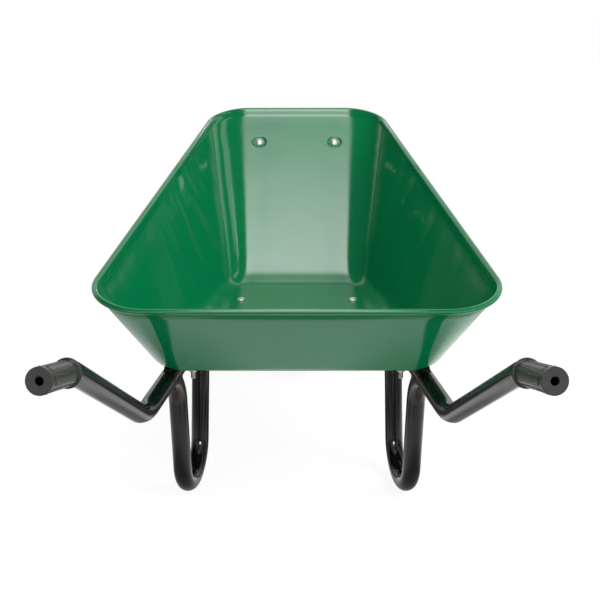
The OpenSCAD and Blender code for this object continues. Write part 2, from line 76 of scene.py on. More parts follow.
def outline(width, rear, front, rear_r, front_r, taper):
    """Stations round a tapered outline from the middle of its rear edge: centre x, centre y, radius, heading."""
    x0, y0, y1 = width / 2 - rear_r, rear + rear_r, front - front_r
    x1 = x0 + (rear_r - front_r - (y1 - y0) * math.sin(taper)) / math.cos(taper)
    quarter = math.pi / 2
    half = [(x0 * i / end_steps, y0, rear_r, -quarter) for i in range(end_steps)]
    half += [(x0, y0, rear_r, -quarter + (quarter + taper) * i / corner_steps) for i in range(corner_steps)]
    for i in range(side_steps):
        u = i / side_steps
        half.append((x0 + (x1 - x0) * u, y0 + (y1 - y0) * u, rear_r + (front_r - rear_r) * u, taper))
    half += [(x1, y1, front_r, taper + (quarter - taper) * i / corner_steps) for i in range(corner_steps + 1)]
    half += [(x1 * 0.97 * (end_steps - i) / end_steps, y1, front_r, quarter) for i in range(end_steps + 1)]
    return half + [(-x, y, r, math.pi - a) for x, y, r, a in half[-2:0:-1]]


def station(entry, inset, z=0.0):
    x, y, r, a = entry
    return Vector((x + (r - inset) * math.cos(a), y + (r - inset) * math.sin(a), z))


def smooth(u):
    return u * u * (3 - 2 * u)


rim_line = outline(rim_width, rim_rear, rim_front, 0.090, 0.085, math.radians(11.3))
floor_line = outline(floor_width, floor_rear, floor_front, 0.050, 0.045, math.radians(14.7))
stations = len(rim_line)


def tray_section(rim, base):
    """The sheet's middle line at one station: up out of the floor, along the wall and round the rolled bead."""
    top = floor_under + rear_depth + (station(rim, 0).y - rim_rear) * rim_climb
    centre = station(rim, 0, top)
    foot = station(base, 0, floor_under)
    lean = math.atan2((centre.xy - foot.xy).length, top - floor_under)
    half = sheet / 2
    shift = half * math.tan(math.pi / 4 - lean / 2)
    corner = station(base, shift, floor_under + half)
    head = station(rim, half / math.cos(lean), top)
    radius = foot_bend_r + foot_bend_less * min(0.0, math.sin(base[3]))
    start = station(base, shift + radius, floor_under + half)
    up = (head - corner).normalized()
    stop = corner + radius * up
    line = []
    for i in range(bend_rows + 1):
        u = i / bend_rows
        line.append((1 - u) ** 2 * start + 2 * u * (1 - u) * corner + u * u * stop)
    out = Vector((math.cos(rim[3]), math.sin(rim[3]), 0))
    out = (out - up * out.dot(up)).normalized()
    curl = bead_r - half - 0.00002
    pull = (centre - out * curl) - head
    share = 1 - 0.020 / (head - stop).length
    line += [stop.lerp(head, share * i / wall_rows) for i in range(1, wall_rows + 1)]
    for i in range(1, ease_rows + 1):
        u = i / ease_rows
        line.append(stop.lerp(head, share + (1 - share) * u) + pull * smooth(u))
    for i in range(1, roll_rows + 1):
        turn = bead_turn * i / roll_rows
        line.append(centre + curl * (up * math.sin(turn) - out * math.cos(turn)))
    return line


def on_circle(radius, i, sides):
    return radius * math.cos(math.tau * i / sides), radius * math.sin(math.tau * i / sides)


def bands(rows, count, ring=False):
    """Quads between rows of count points, each row closed; a ring also joins the last row to the first."""
    faces = []
    for k in range(rows if ring else rows - 1):
        n = (k + 1) % rows
        for i in range(count):
            j = (i + 1) % count
            faces.append((k * count + i, k * count + j, n * count + j, n * count + i))
    return faces


def fill_flat(edge, holes, pitch):
    """Triangles that fill a flat outline of (u, v) points and leave round holes (u, v, radius, sides) open."""
    rim = [Vector(p) for p in edge]
    points, ties = list(rim), [(i, (i + 1) % len(rim)) for i in range(len(rim))]
    for u, v, r, sides in holes:
        first = len(points)
        points += [Vector((u + x, v + y)) for x, y in (on_circle(r, i, sides) for i in range(sides))]
        ties += [(first + i, first + (i + 1) % sides) for i in range(sides)]
    lo = Vector((min(p.x for p in rim), min(p.y for p in rim)))
    hi = Vector((max(p.x for p in rim), max(p.y for p in rim)))

    def clear(p):
        """Says whether p lies inside the outline and off its edge and the holes."""
        odd = False
        for a, b in zip(rim, rim[1:] + rim[:1]):
            if (a.y > p.y) != (b.y > p.y) and p.x < a.x + (b.x - a.x) * (p.y - a.y) / (b.y - a.y):
                odd = not odd
            d = b - a
            t = max(0.0, min(1.0, (p - a).dot(d) / max(d.length_squared, 1e-12)))
            if (a + d * t - p).length < pitch * 0.45:
                return False
        return odd and all((p - Vector(h[:2])).length > h[2] + pitch * 0.35 for h in holes)

    nu, nv = round((hi.x - lo.x) / pitch), round((hi.y - lo.y) / pitch)
    for i in range(nu + 1):
        for k in range(nv + 1):
            p = Vector((lo.x + (hi.x - lo.x) * i / nu, lo.y + (hi.y - lo.y) * k / nv))
            if clear(p):
                points.append(p)
    verts, _, faces, *_ = delaunay_2d_cdt(points, ties, [], 1, 1e-9)
    middles = [sum((verts[i] for i in f), Vector((0, 0))) / len(f) for f in faces]
    return verts, [f for f, mid in zip(faces, middles)
                   if all((mid - Vector(h[:2])).length > h[2] * 0.97 for h in holes)]


def make_mesh(name, verts, faces):
    mesh = bpy.data.meshes.new(name)
    mesh.from_pydata([tuple(v) for v in verts], [], [tuple(f) for f in faces])
    work = bmesh.new()
    work.from_mesh(mesh)
    bmesh.ops.remove_doubles(work, verts=work.verts, dist=4e-6)
    bmesh.ops.dissolve_degenerate(work, dist=1e-7, edges=work.edges)
    bmesh.ops.recalc_face_normals(work, faces=work.faces)
    closed = all(len(e.link_faces) == 2 for e in work.edges)
    if closed and work.calc_volume(signed=True) < 0:
        bmesh.ops.reverse_faces(work, faces=work.faces)
    work.to_mesh(mesh)
    work.free()
    return mesh


def make_object(name, mesh):
    obj = bpy.data.objects.new(name, mesh)
    bpy.context.scene.collection.objects.link(obj)
    return obj


def settle(obj):
    """Turns what the modifiers make into the object's own mesh."""
    graph = bpy.context.evaluated_depsgraph_get()
    mesh = bpy.data.meshes.new_from_object(obj.evaluated_get(graph))
    obj.modifiers.clear()
    obj.data = mesh
    return obj


def finish_piece(obj, material, slot, body, *nodes, crease=35):
    """Shades a piece, gives it its material and hangs it on its body in place of its plain solids."""
    obj.data.materials.clear()
    obj.data.materials.append(material)
    obj.data.shade_smooth()
    obj.data.set_sharp_from_angle(angle=math.radians(crease))
    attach(obj, body)
    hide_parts(*nodes)


sections = [tray_section(rim, base) for rim, base in zip(rim_line, floor_line)]
rows = len(sections[0])
wall_stop = bend_rows + wall_rows
# the first and the last station of the straight front edge
panel_first = end_steps + corner_steps + side_steps + corner_steps + 1
panel_last = panel_first + 2 * end_steps
tray_verts = [p for line in sections for p in line]
tray_faces = []
for j in range(stations):
    k = (j + 1) % stations
    tray_faces += [(j * rows + i, k * rows + i, k * rows + i + 1, j * rows + i + 1) for i in range(rows - 1)
                   if not (panel_first <= j < panel_last and bend_rows <= i < wall_stop)]


def add_sheet(verts, faces):
    base = len(tray_verts)
    tray_verts.extend(verts)
    tray_faces.extend([base + i for i in f] for f in faces)


floor_z = floor_under + sheet / 2
floor_holes = [(s * b.x, b.y, floor_hole_r, floor_hole_sides) for b in (rear_bolt, floor_bolt) for s in (-1, 1)]
flat, flat_faces = fill_flat([line[0].xy for line in sections], floor_holes, 0.022)
add_sheet([Vector((p.x, p.y, floor_z)) for p in flat], flat_faces)

panel_up = Vector((0, math.cos(panel_lean), math.sin(panel_lean)))
panel_out = Vector((0, -math.sin(panel_lean), math.cos(panel_lean)))
panel_zero = sections[panel_first][bend_rows] * Vector((0, 1, 1))


def on_panel(x, v, out=0.0):
    return panel_zero + Vector((x, 0, 0)) + panel_up * v + panel_out * out


panel_edge = [sections[j][bend_rows] for j in range(panel_first, panel_last + 1)]
panel_edge += sections[panel_last][bend_rows + 1:wall_stop + 1]
panel_edge += [sections[j][wall_stop] for j in range(panel_last - 1, panel_first - 1, -1)]
panel_edge += sections[panel_first][wall_stop - 1:bend_rows:-1]
seat_profile = [(19.0, 0), (17.4, 0), (16.2, 0), (15.4, -0.04), (14.9, -0.22), (14.2, -0.75), (13.6, -1.25),
                (12.9, -1.72), (12.2, -1.94), (11.3, -2.0), (4.6, -2.0)]  # radius and depth in millimetres
seat_v = (panel_bolt + panel_out * (sheet / 2) - panel_zero).dot(panel_up)
seats = [(s * panel_bolt.x, seat_v, seat_profile[0][0] / 1000, seat_sides) for s in (-1, 1)]
flat, flat_faces = fill_flat([(p.x, (p - panel_zero).dot(panel_up)) for p in panel_edge], seats, 0.020)
add_sheet([on_panel(p.x, p.y) for p in flat], flat_faces)
for s in (-1, 1):
    dish = []
    for r, h in seat_profile:
        for i in range(seat_sides):
            x, v = on_circle(r / 1000, i, seat_sides)
            dish.append(on_panel(s * panel_bolt.x + x, seat_v + v, h / 1000))
    add_sheet(dish, bands(len(seat_profile), seat_sides))


def new_material(name, **sockets):
    """A material with one Principled shader; the sockets named are set on the shader itself."""
    material = bpy.data.materials.new(name)
    material.use_nodes = True
    shader = material.node_tree.nodes["Principled BSDF"]
    for label, value in sockets.items():
        shader.inputs[label.replace("_", " ")].default_value = value
    return material, material.node_tree, shader


def feed(tree, socket, value):
    """Links a socket to an output, or sets it to a plain value."""
    if hasattr(value, "is_output"):
        tree.links.new(value, socket)
    else:
        socket.default_value = value


def add(tree, kind, **settings):
    """Adds a node; a setting that starts with set_ is an attribute, and any other is an input by its name."""
    node = tree.nodes.new(kind)
    for label, value in settings.items():
        if label.startswith("set_"):
            setattr(node, label[4:], value)
        else:
            feed(tree, node.inputs[label.replace("_", " ")], value)
    return node


def math_node(tree, operation, *values):
    node = add(tree, "ShaderNodeMath", set_operation=operation)
    for socket, value in zip(node.inputs, values):
        feed(tree, socket, value)
    return node.outputs[0]


def product(tree, first, *others):
    for other in others:
        first = math_node(tree, "MULTIPLY", first, other)
    return first


def mix_color(tree, share, a, b):
    node = add(tree, "ShaderNodeMix", set_data_type="RGBA")
    for socket, value in zip((node.inputs[0], node.inputs[6], node.inputs[7]), (share, a, b)):
        feed(tree, socket, value)
    return node.outputs[2]


def noise(tree, place, scale, detail, roughness=0.5):
    return add(tree, "ShaderNodeTexNoise", Vector=place, Scale=scale, Detail=detail, Roughness=roughness).outputs[0]


def ramp(tree, value, start, stop, low, high):
    """A smooth change from low to high as value goes from start to stop."""
    node = add(tree, "ShaderNodeMapRange", Value=value, From_Min=start, From_Max=stop, To_Min=low, To_Max=high,
               set_interpolation_type="SMOOTHSTEP")
    return node.outputs[0]


def object_place(tree):
    return add(tree, "ShaderNodeTexCoord").outputs["Object"]


def split(tree, vector):
    return add(tree, "ShaderNodeSeparateXYZ", Vector=vector).outputs


# What every painted, plated or moulded surface here shares: cloudy colour, a fine grain, a long slow wave
# from the forming, and gloss that changes from place to place.
skin = bpy.data.node_groups.new("surface_skin", "ShaderNodeTree")
for label, kind, value in (
        ("Color", "Color", (0.5, 0.5, 0.5, 1)), ("Second Color", "Color", (0.4, 0.4, 0.4, 1)),
        ("Patch Scale", "Float", 9.0), ("Patch Share", "Float", 0.5), ("Roughness", "Float", 0.3),
        ("Roughness Spread", "Float", 0.05), ("Grain Scale", "Float", 900.0), ("Grain Height", "Float", 0.00001),
        ("Wave Scale", "Float", 8.0), ("Wave Height", "Float", 0.0), ("Stretch", "Vector", (1, 1, 1)),
        ("Swell", "Float", 0.0)):
    skin.interface.new_socket(label, in_out="INPUT", socket_type="NodeSocket" + kind).default_value = value
for label, kind in (("Color", "Color"), ("Roughness", "Float"), ("Normal", "Vector")):
    skin.interface.new_socket(label, in_out="OUTPUT", socket_type="NodeSocket" + kind)
given, gives = skin.nodes.new("NodeGroupInput").outputs, skin.nodes.new("NodeGroupOutput").inputs
place = object_place(skin)
patch = ramp(skin, noise(skin, place, given["Patch Scale"], 4.0, 0.6), 0.36, 0.64, 0.0, 1.0)
skin.links.new(mix_color(skin, product(skin, patch, given["Patch Share"]), given["Color"], given["Second Color"]),
               gives["Color"])
smear = math_node(skin, "SUBTRACT", noise(skin, place, product(skin, given["Patch Scale"], 6.0), 3.0), 0.5)
skin.links.new(math_node(skin, "MULTIPLY_ADD", smear, given["Roughness Spread"], given["Roughness"]),
               gives["Roughness"])
drawn = add(skin, "ShaderNodeMapping", Vector=place, Scale=given["Stretch"]).outputs[0]
wave = math_node(skin, "SUBTRACT", noise(skin, drawn, given["Wave Scale"], 1.0), 0.5)
wave = math_node(skin, "MULTIPLY_ADD", wave, given["Wave Height"], given["Swell"])
grain = product(skin, noise(skin, place, given["Grain Scale"], 2.0), given["Grain Height"])
slow = add(skin, "ShaderNodeBump", Height=wave, Distance=1.0)
fine = add(skin, "ShaderNodeBump", Height=grain, Distance=1.0, Normal=slow.outputs[0])
skin.links.new(fine.outputs[0], gives["Normal"])


def surface(name, color, second, gloss, patch, grain, wave=(8.0, 0.0), stretch=(1, 1, 1), **sockets):
    """A material with the shared skin, clouded between two colours. gloss is the roughness and its spread; patch,
    grain and wave are a scale and an amount each. Any other socket named is set on the shader itself."""
    material, tree, shader = new_material(name, Base_Color=(*color, 1), Roughness=gloss[0], **sockets)
    node = add(tree, "ShaderNodeGroup", set_node_tree=skin)
    values = ((*color, 1), (*second, 1), *patch, *gloss, *grain, *wave, stretch)
    for socket, value in zip(node.inputs, values):
        socket.default_value = value
    for label, socket in (("Color", "Base Color"), ("Roughness", "Roughness"), ("Normal", "Normal")):
        tree.links.new(node.outputs[label], shader.inputs[socket])
    return material, tree, shader, node


tray_enamel, tree, _, enamel = surface(
    "tray_enamel", (0.0008, 0.220, 0.071), (0.002, 0.200, 0.068), gloss=(0.12, 0.06), patch=(5.0, 0.6),
    grain=(300.0, 0.000013), wave=(15.0, 0.0), stretch=(0.7, 1, 0.28), Specular_IOR_Level=0.7)
# the side walls spring a little out of true after pressing, most of all towards the front; the front wall is true
axes = split(tree, object_place(tree))
from_middle = math_node(tree, "ABSOLUTE", axes["X"])
rim_height = math_node(tree, "MULTIPLY_ADD", axes["Y"], rim_climb, floor_under + rear_depth - rim_rear * rim_climb)
below_rim = math_node(tree, "SUBTRACT", rim_height, axes["Z"])
spring = product(tree, ramp(tree, from_middle, 0.13, 0.21, 0.0005, 0.0052),
                 ramp(tree, axes["Y"], -0.05, 0.30, 0.22, 1.0), ramp(tree, below_rim, 0.008, 0.030, 0.0, 1.0))
tree.links.new(spring, enamel.inputs["Wave Height"])
# the front wall runs into its round corners through a slow swell, as drawn sheet does
swell = product(tree, ramp(tree, from_middle, 0.070, 0.152, 0.0, 0.0021),
                ramp(tree, axes["Y"], floor_front - 0.005, floor_front + 0.050, 0.0, 1.0))
tree.links.new(swell, enamel.inputs["Swell"])

tray = make_object("tray_shell", make_mesh("tray_shell", tray_verts, tray_faces))
wall = tray.modifiers.new("sheet", "SOLIDIFY")
wall.thickness, wall.offset, wall.use_even_offset, wall.use_rim = sheet, 0.0, True, True
settle(tray)
finish_piece(tray, tray_enamel, "tray_enamel", "barrow", "tray")

# ---------------------------------------------------------------- Frame tubes
# Two long steel tubes, 32 mm across with a 2 mm wall, run back from beside the wheel under the tray and are
# bent up into the handles. Black enamel, glossy and a little orange-peeled, with brown heat marks by welds.

both_sides = ((-1, "left"), (1, "right"))
tube_r, tube_wall, tube_sides = 0.016, 0.002, 72
toe = math.radians(10.2)
tube_offset = 0.203  # X of a tube's middle line where it passes the leg line
bar_width, bar_thick = 0.036, 0.003  # the flat crossbars that lie between the floor and the tubes
rail_z = floor_under - bar_thick - tube_r
rise, grip_slope = math.radians(34.2), math.radians(17.3)
rail_end = 0.690 / math.cos(toe)
low_bend, high_bend = 0.120, 0.060
# points in a tube's upright plane: how far forward of the leg line, and how high
low_knee = Vector((-0.207, rail_z))
high_knee = low_knee + Vector((-0.197 / math.tan(rise), 0.197))
low_start = low_knee + Vector((low_bend * math.tan(rise / 2), 0))
high_start = high_knee - high_bend * math.tan((rise - grip_slope) / 2) * Vector((-math.cos(rise), math.sin(rise)))
grip_way = Vector((-math.cos(grip_slope), math.sin(grip_slope)))
handle_end = high_knee + 0.109 * grip_way


def arc(centre, radius, start, stop, steps):
    """Points of a bend in the tube's upright plane; 0 degrees is straight below the centre."""
    turns = [math.radians(start + (stop - start) * i / steps) for i in range(steps + 1)]
    return [centre + radius * Vector((math.sin(t), -math.cos(t))) for t in turns]


def straight(a, b, steps):
    return [a.lerp(b, i / steps) for i in range(1, steps)]


def in_tube_plane(side, s, z, across=0.0):
    """Point s along a frame tube and across from its upright plane, in the barrow's own axes."""
    x = tube_offset - s * math.sin(toe) + across * math.cos(toe)
    return Vector((side * x, leg_line + s * math.cos(toe) + across * math.sin(toe), z))


def geometry_tree(name, *sizes):
    """An empty Geometry Nodes tree with named inputs (name, kind)."""
    tree = bpy.data.node_groups.new(name, "GeometryNodeTree")
    for label, kind in (("Geometry", "Geometry"), *sizes, ("Material", "Material")):
        tree.interface.new_socket(label, in_out="INPUT", socket_type="NodeSocket" + kind)
    tree.interface.new_socket("Geometry", in_out="OUTPUT", socket_type="NodeSocketGeometry")
    return tree, tree.nodes.new("NodeGroupInput").outputs


def end_tree(tree, given, geometry):
    """Every tree ends alike: real geometry with its material."""
    real = add(tree, "GeometryNodeRealizeInstances", Geometry=geometry)
    painted = add(tree, "GeometryNodeSetMaterial", Geometry=real.outputs[0], Material=given["Material"])
    add(tree, "NodeGroupOutput", Geometry=painted.outputs[0])


def grow(obj, tree, **values):
    """Runs a tree on an object and keeps what it makes as a plain mesh."""
    modifier = obj.modifiers.new(tree.name, "NODES")
    modifier.node_group = tree
    for item in tree.interface.items_tree:
        if item.in_out == "INPUT" and item.name in values:
            modifier[item.identifier] = values[item.name]
    return settle(obj)


tube_tree, given = geometry_tree("tube_along_path", ("Radius", "Float"), ("Sides", "Int"))
ring = add(tube_tree, "GeometryNodeCurvePrimitiveCircle", Radius=given["Radius"], Resolution=given["Sides"])
path = add(tube_tree, "GeometryNodeMeshToCurve", Mesh=given["Geometry"])
swept = add(tube_tree, "GeometryNodeCurveToMesh", Curve=path.outputs[0], Profile_Curve=ring.outputs[0])
end_tree(tube_tree, given, swept.outputs[0])


def polyline(name, points, loop=False):
    mesh = bpy.data.meshes.new(name)
    ties = [(i, i + 1) for i in range(len(points) - 1)] + ([(len(points) - 1, 0)] if loop else [])
    mesh.from_pydata([tuple(p) for p in points], ties, [])
    return make_object(name, mesh)


def swept_tube(name, side, line):
    """A tube of the frame's size along a line in its upright plane, with its 2 mm wall."""
    points = [in_tube_plane(side, p.x, p.y) for p in line]
    obj = grow(polyline(name, points), tube_tree, Radius=tube_r, Sides=tube_sides, Material=frame_paint)
    obj.data = make_mesh(name, [v.co for v in obj.data.vertices], [p.vertices for p in obj.data.polygons])
    # an open tube's faces point out when their normals lean away from the path
    face = obj.data.polygons[0]
    near = min(points, key=lambda p: (p - face.center).length)
    if face.normal.dot(face.center - near) < 0:
        obj.data.flip_normals()
    wall = obj.modifiers.new("wall", "SOLIDIFY")
    wall.thickness, wall.offset, wall.use_rim = tube_wall, -1.0, True
    return settle(obj)


def along_tube(side, s):
    """Moves what stands on Z to point s of a frame tube's middle line, turned along it."""
    way = in_tube_plane(side, 1, 0) - in_tube_plane(side, 0, 0)
    return Matrix.Translation(in_tube_plane(side, s, rail_z)) @ way.to_track_quat("Z", "X").to_matrix().to_4x4()


def vector_node(tree, operation, *values):
    node = add(tree, "ShaderNodeVectorMath", set_operation=operation)
    for socket, value in zip(node.inputs, values):
        feed(tree, socket, value)
    return node.outputs["Value" if operation in ("DISTANCE", "LENGTH") else "Vector"]


frame_paint, tree, shader, painted = surface(
    "frame_paint", (0.0030, 0.0030, 0.0033), (0.0055, 0.0055, 0.006), gloss=(0.13, 0.10), patch=(14.0, 0.7),
    grain=(520.0, 0.000012), wave=(26.0, 0.00016), Specular_IOR_Level=0.33)
# the enamel is brown where the heat of the welds reached it, at the top of each leg
here = object_place(tree)
from_leg = vector_node(tree, "SUBTRACT", here, (0, leg_line + 0.030, rail_z - 0.012))
from_joint = vector_node(tree, "DISTANCE", vector_node(tree, "ABSOLUTE", from_leg), (tube_offset - 0.004, 0.052, 0))
burn = product(tree, ramp(tree, from_joint, 0.030, 0.062, 0.75, 0.0), noise(tree, here, 60.0, 4.0))
tree.links.new(mix_color(tree, burn, painted.outputs["Color"], (0.075, 0.036, 0.018, 1)), shader.inputs["Base Color"])

rail_front = Vector((rail_end, rail_z))
frame_path = [rail_front, *straight(rail_front, low_start, 24)]
frame_path += arc(low_start + Vector((0, low_bend)), low_bend, 0, -math.degrees(rise), 24)
frame_path += straight(frame_path[-1], high_start, 10)
frame_path += arc(high_start - high_bend * Vector((math.sin(rise), math.cos(rise))), high_bend,
                  180 - math.degrees(rise), 180 - math.degrees(grip_slope), 10)
frame_path += [*straight(frame_path[-1], handle_end, 5), handle_end]
for side, name in both_sides:
    finish_piece(swept_tube(name + "_tube", side, frame_path), frame_paint, "frame_paint", "barrow",
                 name + "_frame_tube")

# ---------------------------------------------------------------- Legs
# Each leg is one tube of the same size bent into a U that stands on the ground. Its rear upright sweeps back
# at the top, both tops are cut to a saddle and welded round under the frame tube, and the whole is enamelled.

foot_r = 0.0635
foot = Vector((foot_r + 0.002, foot_r + tube_r))
rear_lean, front_lean = math.radians(5), math.radians(8)
sweep_r, sweep_top = 0.080, math.asin(0.9)  # the rear upright's sweep, and how far it has turned at the weld
rear_foot = foot - foot_r * Vector((math.cos(rear_lean), math.sin(rear_lean)))
front_foot = foot + foot_r * Vector((math.cos(front_lean), -math.sin(front_lean)))
sweep_z = rail_z - sweep_r * (math.sin(sweep_top) - math.sin(rear_lean))
sweep_start = Vector((rear_foot.x - (sweep_z - rear_foot.y) * math.tan(rear_lean), sweep_z))
sweep_mid = sweep_start - sweep_r * Vector((math.cos(rear_lean), math.sin(rear_lean)))
front_top = Vector((front_foot.x + (rail_z - front_foot.y) * math.tan(front_lean), rail_z))
bead_size = 0.0017


def lathe(profile, sides, closed=False):
    """Spins (radius, height) millimetre points about Z; a closed profile is a ring's section."""
    verts = [Vector((*on_circle(r / 1000, i, sides), h / 1000)) for r, h in profile for i in range(sides)]
    return verts, bands(len(profile), sides, closed)


def saddle_loop(rear):
    """Where the outside of a leg's top meets the outside of the frame tube, as (s, z, across) points."""
    loop = []
    for i in range(64):
        across, lift = on_circle(tube_r, i, 64)
        z = rail_z - abs(lift)
        if rear:
            t = math.acos(-(z - sweep_mid.y) / (sweep_r + lift))
            loop.append((sweep_mid.x + (sweep_r + lift) * math.sin(t), z, across))
        else:
            way = Vector((math.sin(front_lean), math.cos(front_lean)))
            start = front_foot + lift * Vector((way.y, -way.x))
            loop.append((start.x + (z - start.y) / way.y * way.x, z, across))
    return loop


weld_tree, given = geometry_tree("weld_bead", ("Radius", "Float"), ("Ripple", "Float"), ("Pitch", "Float"))
path = add(weld_tree, "GeometryNodeMeshToCurve", Mesh=given["Geometry"])
path = add(weld_tree, "GeometryNodeResampleCurve", Curve=path.outputs[0], set_mode="LENGTH", Length=0.0006)
ring = add(weld_tree, "GeometryNodeCurvePrimitiveCircle", Radius=given["Radius"], Resolution=10)
along = add(weld_tree, "GeometryNodeSplineParameter").outputs["Length"]
phase = product(weld_tree, math_node(weld_tree, "DIVIDE", along, given["Pitch"]), math.pi)
ripple = math_node(weld_tree, "ABSOLUTE", math_node(weld_tree, "SINE", phase))
girth = math_node(weld_tree, "SUBTRACT", 1.0, product(weld_tree, ripple, given["Ripple"]))
swept = add(weld_tree, "GeometryNodeCurveToMesh", Curve=path.outputs[0], Profile_Curve=ring.outputs[0], Scale=girth,
            Fill_Caps=True)
end_tree(weld_tree, given, swept.outputs[0])


def weld_bead(points, ripple, pitch, loop=False):
    return grow(polyline("bead", points, loop), weld_tree, Radius=bead_size, Ripple=ripple, Pitch=pitch,
                Material=frame_paint)


def join(name, parts):
    """Several meshes as one piece."""
    verts, faces = [], []
    for obj in parts:
        base = len(verts)
        verts += [v.co.copy() for v in obj.data.vertices]
        faces += [[base + i for i in p.vertices] for p in obj.data.polygons]
        bpy.data.objects.remove(obj)
    return make_object(name, make_mesh(name, verts, faces))


leg_path = arc(sweep_mid, sweep_r, 90 + math.degrees(sweep_top), 90 + math.degrees(rear_lean), 18)
leg_path += straight(leg_path[-1], rear_foot, 6)
leg_path += arc(foot, foot_r, math.degrees(rear_lean) - 90, 90 - math.degrees(front_lean), 56)
leg_path += [*straight(leg_path[-1], front_top, 7), front_top]
cut_r, cut_half = 1000 * tube_r + 0.05, 250
cut_line = [(0, -cut_half), (cut_r, -cut_half), (cut_r, cut_half), (0, cut_half)]
for side, name in both_sides:
    leg = swept_tube(name + "_leg_tube", side, leg_path)
    cutter = make_object("saddle", make_mesh("saddle", *lathe(cut_line, 96)))
    cutter.data.transform(along_tube(side, 0.05))
    cut = leg.modifiers.new("saddle", "BOOLEAN")
    cut.operation, cut.solver, cut.object = "DIFFERENCE", "EXACT", cutter
    settle(leg)
    bpy.data.objects.remove(cutter)
    finish_piece(leg, frame_paint, "frame_paint", "barrow", name + "_leg")

    beads = [weld_bead([in_tube_plane(side, *p) for p in saddle_loop(rear)], 0.12, 0.0036, loop=True)
             for rear in (True, False)]
    for bolt in (rear_bolt, floor_bolt):
        for edge in (-1, 1):
            # a short fillet where a crossbar's edge crosses the round top of the tube
            y = bolt.y + edge * (bar_width / 2 + 0.0004)
            x = tube_offset - (y - leg_line) * math.tan(toe)
            top = floor_under - bar_thick + 0.0002
            beads.append(weld_bead([Vector((side * (x + d), y, top - d * d / (2 * tube_r)))
                                    for d in (-0.0075, -0.004, 0, 0.004, 0.0075)], 0.16, 0.0032))
    finish_piece(join(name + "_welds", beads), frame_paint, "frame_paint", "barrow", name + "_leg", crease=60)

# ---------------------------------------------------------------- Grips
# A sleeve of black-grey rubber pushed over each tube end. It has a flange against the hand, six panels between
# long ribs and rows of short dashes, a small bar across each panel's ends, and an end disc with a vent hole.

sleeve_r = 0.0171
grip_profile = [(16.05, 14.2), (16.9, 14.0), (19.6, 14.0), (20.05, 14.25), (20.2, 14.7), (20.2, 17.2), (20.05, 17.7),
                (19.7, 17.95), (18.6, 18.1), (17.6, 18.5), (17.15, 19.3), (17.1, 20.5), (17.1, 40), (17.1, 60),
                (17.1, 80), (17.1, 100), (17.1, 104.2), (17.0, 104.9), (16.7, 105.3), (16.55, 105.8),
                (16.55, 107.2), (16.8, 107.7), (17.5, 107.95), (17.8, 108.3), (17.9, 109.0), (17.9, 112.6),
                (17.75, 113.25), (17.3, 113.65), (16.6, 113.75), (14.5, 113.55), (9.0, 113.3), (6.5, 113.25),
                (5.9, 113.1), (5.5, 112.6), (5.5, 109.05), (16.05, 109.05)]

set_tree, given = geometry_tree("set_out", ("Part", "Object"))
part = add(set_tree, "GeometryNodeObjectInfo", Object=given["Part"])
turn = add(set_tree, "GeometryNodeInputNamedAttribute", set_data_type="FLOAT_VECTOR", Name="turn")
turn = add(set_tree, "FunctionNodeEulerToRotation", Euler=turn.outputs[0])
placed = add(set_tree, "GeometryNodeInstanceOnPoints", Points=given["Geometry"],
             Instance=part.outputs["Geometry"], Rotation=turn.outputs[0])
end_tree(set_tree, given, placed.outputs[0])


def set_out(name, mesh, places, material):
    """Copies of one part at (point, rotation matrix) places, as one plain mesh."""
    part = make_object("part", mesh)
    points = polyline(name, [p for p, _ in places])
    turns = points.data.attributes.new("turn", "FLOAT_VECTOR", "POINT")
    turns.data.foreach_set("vector", [c for _, m in places for c in m.to_euler()])
    grow(points, set_tree, Part=part, Material=material)
    bpy.data.objects.remove(part)
    return points


def rounded_bar(length, width, height, sink, sides=6):
    """A low rib lying along Z, standing up in +X from the surface at the origin."""
    verts, top = [], length / 2
    for z, tall, broad in ((-top, 0.35, 0.75), (height - top, 1, 1), (top - height, 1, 1), (top, 0.35, 0.75)):
        for i in range(sides + 1):
            a = math.pi * i / sides
            verts.append((tall * (sink + height * math.sin(a)) - sink, -broad * width / 2 * math.cos(a), z))
    n = sides + 1
    return make_mesh("rib", verts, bands(4, n) + [range(n), range(4 * n - 1, 3 * n - 1, -1)])


grip_rubber, *_ = surface(
    "grip_rubber", (0.026, 0.0255, 0.0245), (0.040, 0.036, 0.031), gloss=(0.30, 0.12), patch=(38.0, 0.7),
    grain=(1500.0, 0.000004), wave=(60.0, 0.00002), Specular_IOR_Level=0.6)


def round_sleeve(name, rib, spots, tip=0.0):
    """Copies of a rib round the sleeve at (angle, height) spots, tipped over from lying lengthwise."""
    return set_out(name, rib, [(Vector((sleeve_r * math.cos(a), sleeve_r * math.sin(a), h)),
                                Matrix.Rotation(a, 3, "Z") @ Matrix.Rotation(tip, 3, "X")) for a, h in spots],
                   grip_rubber)


